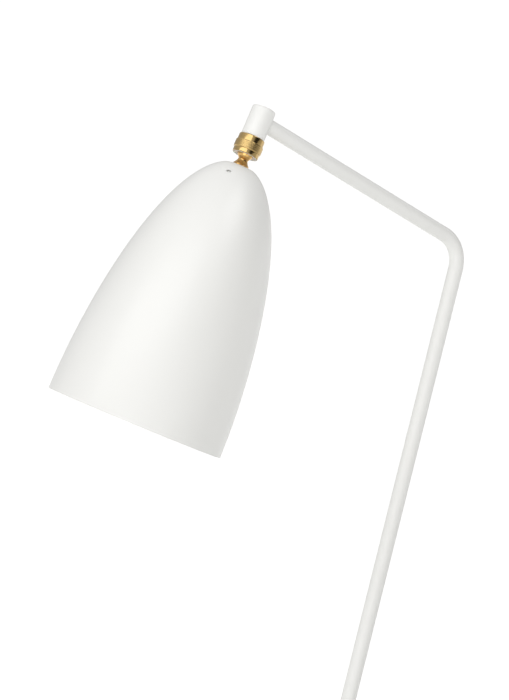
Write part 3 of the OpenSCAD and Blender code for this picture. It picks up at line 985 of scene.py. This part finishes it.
class LAMP_OT_shade(PieceOperator, Operator):
    """Spins the shade, drills its vent holes and sets a thin ring behind them"""

    bl_idname = "lamp.shade"
    bl_label = "Shade"

    def make(self, lamp):
        sizes = lamp.shade
        hole = sizes.hole_d / 2
        rows = 110
        crowding = 1.7  # the rows lie closer together near the top, where the curve is tight
        depths = [sizes.length * (i / rows) ** crowding for i in range(rows + 1)]
        outside = [self.point(sizes, s) for s in depths]
        inside = [self.inner(sizes, s) for s in depths]
        outline = [(hole, 0)]
        outline += self.shoulder(sizes, outside, 3 * MM, 0)
        half = sizes.wall / 2
        for i in range(9):
            angle = pi * i / 8
            outline.append((sizes.mouth_d / 2 - half + half * cos(angle),
                            sizes.length - RIM + RIM * sin(angle)))
        outline += self.shoulder(sizes, inside, 2.4 * MM, sizes.wall)[::-1]
        outline.append((hole, sizes.wall))
        shade = add("lamp_shade", turned(outline, 224))
        vent = self.point(sizes, sizes.vent_at)
        out = -self.inward(sizes, sizes.vent_at)
        for i in range(sizes.vents):
            turn = Matrix.Rotation(sizes.vent_dir + 2 * pi * i / sizes.vents, 4, "Z")
            place = turn @ axes((vent.x, 0, vent.y), (out.x, 0, out.y), (0, 0, 1))
            combine(shade, "DIFFERENCE", rod(sizes.vent_d / 2, -5 * MM, 5 * MM, 40), place)
        shade.matrix_world = on_shade(sizes.gap)
        finish_piece(shade, "shade", "shade_paint", "shade")
        baffle = add("vent_baffle", self.baffle(sizes), on_shade(sizes.gap))
        finish_piece(baffle, "shade", "shade_paint")

    def baffle(self, sizes):
        """A thin ring behind the vent holes, which keeps the bulb's light in."""
        thick = 0.5 * MM
        half = 7 * MM
        behind = 0.8 * MM
        outside, inside = [], []
        for i in range(17):
            s = sizes.vent_at + half * (i / 8 - 1)
            stand_off = sizes.wall - 0.1 * MM + behind * min(1, i / 5)
            point = self.point(sizes, s)
            way = self.inward(sizes, s)
            outside.append(tuple(point + way * stand_off))
            inside.append(tuple(point + way * (stand_off + thick)))
        return turned(outside + inside[::-1])

    def point(self, sizes, s):
        """A point (radius, depth) of the outside, at s below the shade's top."""
        start = 2.3 * MM  # how far above the top the curve would close
        crown, belly = 1.83, 0.466  # powers that make the curve full or lean
        share = (s + start) / (sizes.length + start)
        return Vector((sizes.mouth_d / 2 * (1 - (1 - share) ** crown) ** belly, s))

    def inward(self, sizes, s):
        way = self.point(sizes, s + 0.05 * MM) - self.point(sizes, s)
        return Vector((-way.y, way.x)).normalized()

    def inner(self, sizes, s):
        found = self.point(sizes, s) + self.inward(sizes, min(s, sizes.length - 1 * MM)) * sizes.wall
        return Vector((found.x, min(found.y, sizes.length - RIM)))

    def shoulder(self, sizes, points, reach, level):
        """The outline from the flat top on, with the corner between them eased over that reach."""
        corner = points[0]
        last = sizes.length - RIM - MICRON
        keep = [point for point in points if (point - corner).length > reach and point.y < last]
        start = Vector((corner.x - reach, level))
        corner = Vector((corner.x, level))
        curve = []
        for step in range(ROUND + 1):
            u = step / ROUND
            curve.append(start * (1 - u) ** 2 + corner * (2 * u * (1 - u)) + keep[0] * u**2)
        return [tuple(point) for point in curve + keep[1:]]


class LAMP_OT_lampholder(PieceOperator, Operator):
    """Moulds the lampholder's cap and skirt, and its washer"""

    bl_idname = "lamp.lampholder"
    bl_label = "Lampholder"

    def make(self, lamp):
        sizes = lamp.bulb
        r = sizes.holder_d / 2
        wall = sizes.holder_wall
        washer_at = lamp.shade.gap + lamp.shade.wall
        cap_at = washer_at + sizes.cap_at
        end = sizes.cap_len
        bore = lamp.fitting.nipple_d / 2
        cap = rounded([
            (bore, 0), (8 * MM, 0, 0.6 * MM), (9 * MM, 4 * MM, 1.5 * MM), (r - 5 * MM, 8 * MM, 3 * MM),
            (r - 1 * MM, 14 * MM, 3 * MM), (r, 20 * MM, 1 * MM), (r, end), (r - wall, end),
            (r - wall, 20 * MM, 2 * MM), (r - wall - 1 * MM, 15 * MM, 2 * MM),
            (r - wall - 4 * MM, 10 * MM, 2 * MM), (8 * MM, 7 * MM, 1 * MM), (bore, 7 * MM)])
        piece = add("holder_cap_moulded", turned(cap), on_shade(cap_at))
        finish_piece(piece, "shade", "holder_white", "holder_cap")
        rings = [ring(r - wall, 0), ring(r, 0), ring(r, 3 * MM)]
        for i in range(12):
            z = (4 + 26 * i / 11) * MM
            deep = 0.5 * MM * min(1, i / 2, (11 - i) / 2)
            rings.append(ring(r, z, wave=lambda angle: -deep * (0.5 - 0.5 * cos(sizes.skirt_ribs * angle))))
        lip = r + 0.8 * MM
        low = sizes.skirt_len
        rim = rounded([(r, low - 2.2 * MM), (lip, low - 2 * MM, 0.5 * MM), (lip, low, 0.6 * MM),
                       (r - wall, low)])
        rings += [ring(radius, z) for radius, z in rim]
        piece = add("holder_skirt_moulded", skin(rings, loop=True), on_shade(cap_at + end))
        finish_piece(piece, "shade", "holder_white", "holder_skirt")
        hole = 5 * MM
        edge = sizes.washer_d / 2
        washer = rounded([(hole, 0), (edge, 0, 0.3 * MM), (edge, sizes.washer_h, 0.4 * MM),
                          (hole, sizes.washer_h)])
        piece = add("shade_washer_pressed", turned(washer), on_shade(washer_at))
        finish_piece(piece, "shade", "zinc_steel", "shade_washer")


class LAMP_OT_bulb(PieceOperator, Operator):
    """Blows the bulb's glass and rolls its threaded cap"""

    bl_idname = "lamp.bulb"
    bl_label = "Bulb"

    def make(self, lamp):
        sizes = lamp.bulb
        base_at = lamp.shade.gap + lamp.shade.wall + sizes.base_at
        self.cap(sizes, base_at, sizes.base_d / 2)
        self.glass(sizes, base_at, sizes.base_d / 2)

    def cap(self, sizes, base_at, radius):
        """A rolled round thread: a wave that climbs once in each turn."""
        pitch = sizes.thread_pitch
        length = sizes.base_len
        depth = 0.75 * MM
        wall = 0.3 * MM
        rows = 120

        def rings(inset):
            found = []
            for row in range(rows + 1):
                z = 1 * MM + (length - 2 * MM) * row / rows
                fade = min(1, row / 8, (rows - row) / 20)
                found.append(ring(radius - inset, z, FEW_WEDGES, lambda angle: -depth * fade * (
                    0.5 - 0.5 * cos(angle - 2 * pi * z / pitch))))
            return found

        def flat(r, z):
            return ring(r, z, FEW_WEDGES)

        outer = [flat(0, 0), flat(radius - 1 * MM, 0)] + rings(0) + [flat(radius - 0.1 * MM, length)]
        inner = [flat(radius - wall, length)] + rings(wall)[::-1]
        inner += [flat(radius - 1.2 * MM, wall), flat(0, wall)]
        cap = add("bulb_cap_rolled", skin(outer + inner, loop=False), on_shade(base_at))
        finish_piece(cap, "shade", "bulb_metal", "bulb_cap")

    def glass(self, sizes, base_at, base_r):
        """A pear of glass: a ball that runs smoothly into its neck, which sits in the cap."""
        r = sizes.bulb_d / 2
        rim = base_at + sizes.base_len
        start = rim - 2 * MM
        centre = start + sizes.glass_len - r
        neck = base_r - 0.7 * MM
        leave = 2.02  # angle round the ball at which the neck leaves it
        touch = Vector((r * sin(leave), centre + r * cos(leave)))
        way = Vector((cos(leave), -sin(leave)))
        outer = [(0, centre + r)]
        outer += [(r * sin(leave * i / 40), centre + r * cos(leave * i / 40)) for i in range(1, 41)]
        low = Vector((neck, rim))
        reach = (touch.y - low.y) * 0.5
        for i in range(1, 17):
            u = i / 16
            outer.append(tuple(
                touch * (1 - u) ** 3 + (touch + way * reach) * (3 * u * (1 - u) ** 2)
                + (low + Vector((0, reach))) * (3 * u * u * (1 - u)) + low * u**3))
        outer.append((neck, start))
        wall = sizes.glass_wall
        inner = []
        for i, (x, z) in enumerate(outer):
            before = Vector(outer[max(i - 1, 0)])
            after = Vector(outer[min(i + 1, len(outer) - 1)])
            along = (after - before).normalized()
            inner.append((max(x + along.y * wall, 0) if i else 0, z - along.x * wall if i else z - wall))
        inner[-1] = (neck - wall, start)
        glass = add("bulb_glass_blown", turned(outer + inner[::-1]), on_shade())
        finish_piece(glass, "shade", "opal_glass", "bulb_glass")


class LAMP_OT_inner_parts(PieceOperator, Operator):
    """Gives every CAD node that is kept as it is its finish"""

    bl_idname = "lamp.inner_parts"
    bl_label = "Inner parts"

    def make(self, lamp):
        kept = {
            "stand_lead": "white_cable", "shade_lead": "white_cable", "cable_sleeve": "white_cable",
            "disc_springs": "zinc_steel", "yoke_screws": "zinc_steel", "bulb_contact": "zinc_steel",
            "friction_cup": "white_nylon", "holder_core": "holder_core", "bulb_insulator": "black_glass",
            "lock_nut": "shade_brass", "terminal_screws": "shade_brass", "thread_shell": "shade_brass",
            "centre_contact": "shade_brass",
        }
        for name, slot in kept.items():
            node = frame["nodes"][name]
            node.data.materials.clear()
            node.data.materials.append(finishes()[slot])


class LAMP_OT_stage(PieceOperator, Operator):
    """Sets the floor, the studio's light and the camera"""

    bl_idname = "lamp.stage"
    bl_label = "Stage"

    def make(self, lamp):
        stage = lamp.stage
        self.middle = BALL + SHADE_DOWN * (lamp.shade.gap + lamp.shade.length / 2)
        self.floor(stage)
        self.studio(stage)
        self.light(stage, "high", turn=-25, rise=36, distance=2.4, width=3.0, height=1.1)
        self.light(stage, "low", turn=-20, rise=-9, distance=2.6, width=1.4, height=1.2)
        self.light(stage, "side", turn=60, rise=42, distance=2.6, width=1.4, height=1.2)
        self.camera(stage)

    def around(self, stage, turn, rise):
        """A direction from the lamp, turned to the right of the camera and raised."""
        back = Vector((-sin(stage.camera_heading), -cos(stage.camera_heading), 0))
        right = Vector((-back.y, back.x, 0))
        return (back * cos(turn) + right * sin(turn)) * cos(rise) + Vector((0, 0, sin(rise)))

    def floor(self, stage):
        """A plain pale floor, lit from below where it runs out, except in front of the black card."""
        finish = Finish("pale_floor")
        place = finish.place("Object")
        reach = finish.node("ShaderNodeVectorMath", {"operation": "LENGTH"}, {0: place}, "Value")
        way = finish.node("ShaderNodeVectorMath", {"operation": "NORMALIZE"}, {0: place})
        facing = finish.dot(way, self.around(stage, stage.flag_turn, 0))
        glow = finish.ramp(reach, low=0.5, high=1.8, first=0, last=1)
        glow *= finish.ramp(facing, low=0.8, high=0.93, first=1, last=0)
        finish.shade(Base_Color=(0.86, 0.86, 0.85, 1), Roughness=0.85, Specular_IOR_Level=0.1,
                     Emission_Color=finish.blend(glow, (0.0, 0.0, 0.0), (1.0, 1.0, 1.0)),
                     Emission_Strength=stage.floor_glow)
        floor = add("floor", rod(stage.floor_r, -0.2, 0, 128))
        floor.data.materials.append(finish.material)

    def studio(self, stage):
        """A world with white walls, a brighter ceiling and one black card."""
        world = bpy.data.worlds.new("studio")
        world.use_nodes = True
        bpy.context.scene.world = world
        nodes = Nodes(world.node_tree)
        place = nodes.place("Generated")
        height = nodes.node("ShaderNodeSeparateXYZ", {}, {0: place}, "Z")
        facing = nodes.dot(place, self.around(stage, stage.flag_turn, radians(2)))
        level = nodes.ramp(height, low=0.45, high=0.8, first=stage.horizon, last=stage.ceiling)
        level *= nodes.ramp(facing, low=0.64, high=0.85, first=1, last=stage.flag)
        background = nodes.tree.nodes["Background"]
        nodes.feed(background.inputs["Color"], (1, 1, 1, 1))
        nodes.feed(background.inputs["Strength"], level)

    def light(self, stage, name, turn, rise, distance, width, height):
        """A soft light that faces the shade, so many degrees right of the camera and up."""
        way = self.around(stage, radians(turn), radians(rise))
        name += "_light"
        data = bpy.data.lights.new(name, "AREA")
        data.shape = "RECTANGLE"
        data.size = height
        data.size_y = width
        data.energy = getattr(stage, name.replace("light", "power"))
        light = bpy.data.objects.new(name, data)
        light.visible_camera = False
        light.matrix_world = axes(self.middle + way * distance, way, (0, 0, 1))
        bpy.context.scene.collection.objects.link(light)

    def camera(self, stage):
        data = bpy.data.cameras.new("camera")
        data.lens = stage.camera_lens
        data.sensor_width = 36
        data.clip_end = 200
        camera = bpy.data.objects.new("camera", data)
        camera.location = stage.camera_place
        camera.rotation_euler = (pi / 2 - stage.camera_dip, 0, -stage.camera_heading)
        bpy.context.scene.collection.objects.link(camera)
        bpy.context.scene.camera = camera
        bpy.context.scene.view_settings.view_transform = "Standard"


OPERATORS = (
    LAMP_OT_tube, LAMP_OT_legs, LAMP_OT_feet, LAMP_OT_gland, LAMP_OT_fitting, LAMP_OT_clamp_nut,
    LAMP_OT_seat_ring, LAMP_OT_ball_stud, LAMP_OT_shade, LAMP_OT_lampholder, LAMP_OT_bulb,
    LAMP_OT_inner_parts, LAMP_OT_stage,
)


class LAMP_PT_panel(Panel):
    """Lists the lamp's pieces and their settings"""

    bl_idname = "LAMP_PT_panel"
    bl_label = "Floor lamp"
    bl_space_type = "VIEW_3D"
    bl_region_type = "UI"
    bl_category = "Lamp"

    def draw(self, context):
        for operator in OPERATORS:
            self.layout.operator(operator.bl_idname)
        for group in ("stand", "fitting", "shade", "bulb", "colours", "stage"):
            box = self.layout.box()
            box.label(text=group.capitalize())
            settings = getattr(context.scene.lamp, group)
            for name in settings.__annotations__:
                box.prop(settings, name)


GROUPS = (
    StandSettings, FittingSettings, ShadeSettings, BulbSettings, ColourSettings, StageSettings,
    LampSettings,
)


def register():
    for group in GROUPS + OPERATORS + (LAMP_PT_panel,):
        bpy.utils.register_class(group)
    bpy.types.Scene.lamp = PointerProperty(type=LampSettings)


def unregister():
    del bpy.types.Scene.lamp
    for group in (GROUPS + OPERATORS + (LAMP_PT_panel,))[::-1]:
        bpy.utils.unregister_class(group)


def main():
    register()
    for operator in OPERATORS:
        group, name = operator.bl_idname.split(".")
        getattr(getattr(bpy.ops, group), name)()


if __name__ == "__main__":
    main()
